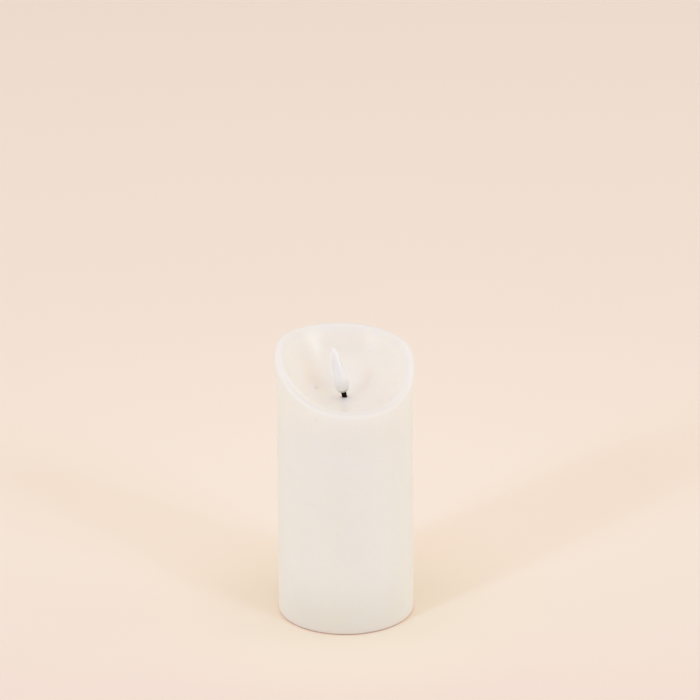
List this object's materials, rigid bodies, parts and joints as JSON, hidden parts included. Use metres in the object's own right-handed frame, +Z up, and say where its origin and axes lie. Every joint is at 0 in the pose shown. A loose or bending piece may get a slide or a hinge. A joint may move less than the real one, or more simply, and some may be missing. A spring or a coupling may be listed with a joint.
{
  "type": "flameless led pillar candle",
  "caption": "Battery-lit pillar candle: hollow wax body with a scooped slanting rim, a leaning white flame on a short black wick, and a base with battery door and slide switch.",
  "frame": {"origin": "centre of the footprint, on the surface the candle stands on", "axes": "+Z up, +X to the right and -Y to the front, where the rim is low; the flame leans towards -X"},
  "size_m": [0.076, 0.076, 0.1552],
  "materials": {
    "wax": "satin",
    "flame": "satin",
    "wick": "matte",
    "shell": "satin",
    "white_plastic": "satin",
    "black_plastic": "satin",
    "tinplate": "satin",
    "board": "satin",
    "chip": "matte",
    "capacitor": "satin",
    "resistor": "satin",
    "emitter": "satin",
    "contact": "polished",
    "cell": "satin",
    "wire_red": "satin",
    "wire_black": "satin",
    "screw": "polished"
  },
  "bodies": {
    "candle": {"wax_body": "wax", "flame_cap": "flame", "wick_sleeve": "wick", "led_strip": "board", "led_lower": "emitter", "led_upper": "emitter", "led_wire_red": "wire_red", "led_wire_black": "wire_black", "stem_tube": "white_plastic", "housing_cover": "white_plastic", "base_housing": "shell", "switch_body": "tinplate", "circuit_board": "board", "flicker_chip": "chip", "capacitor": "capacitor", "resistor": "resistor", "timer_crystal": "tinplate", "positive_plate": "contact", "negative_plate": "contact", "bridge_plate": "contact", "negative_spring": "contact", "bridge_spring": "contact", "battery_front": "cell", "battery_back": "cell", "battery_wire_red": "wire_red", "battery_wire_black": "wire_black", "switch_wire": "wire_red", "housing_screw_1": "screw", "housing_screw_2": "screw", "housing_screw_3": "screw", "board_screw_1": "screw", "board_screw_2": "screw"},
    "door": {"battery_door": "shell"},
    "switch": {"switch_knob": "black_plastic"}
  },
  "joints": [
    {"name": "battery_door_hinge", "type": "hinge", "parent": "candle", "child": "door", "pos_m": [-0.0268, 0.004, 0.0015], "axis": [0, 1, 0], "range_deg": [0, 80]},
    {"name": "power_switch", "type": "slide", "parent": "candle", "child": "switch", "axis": [1, 0, 0], "range_m": [0, 0.004]}
  ]
}
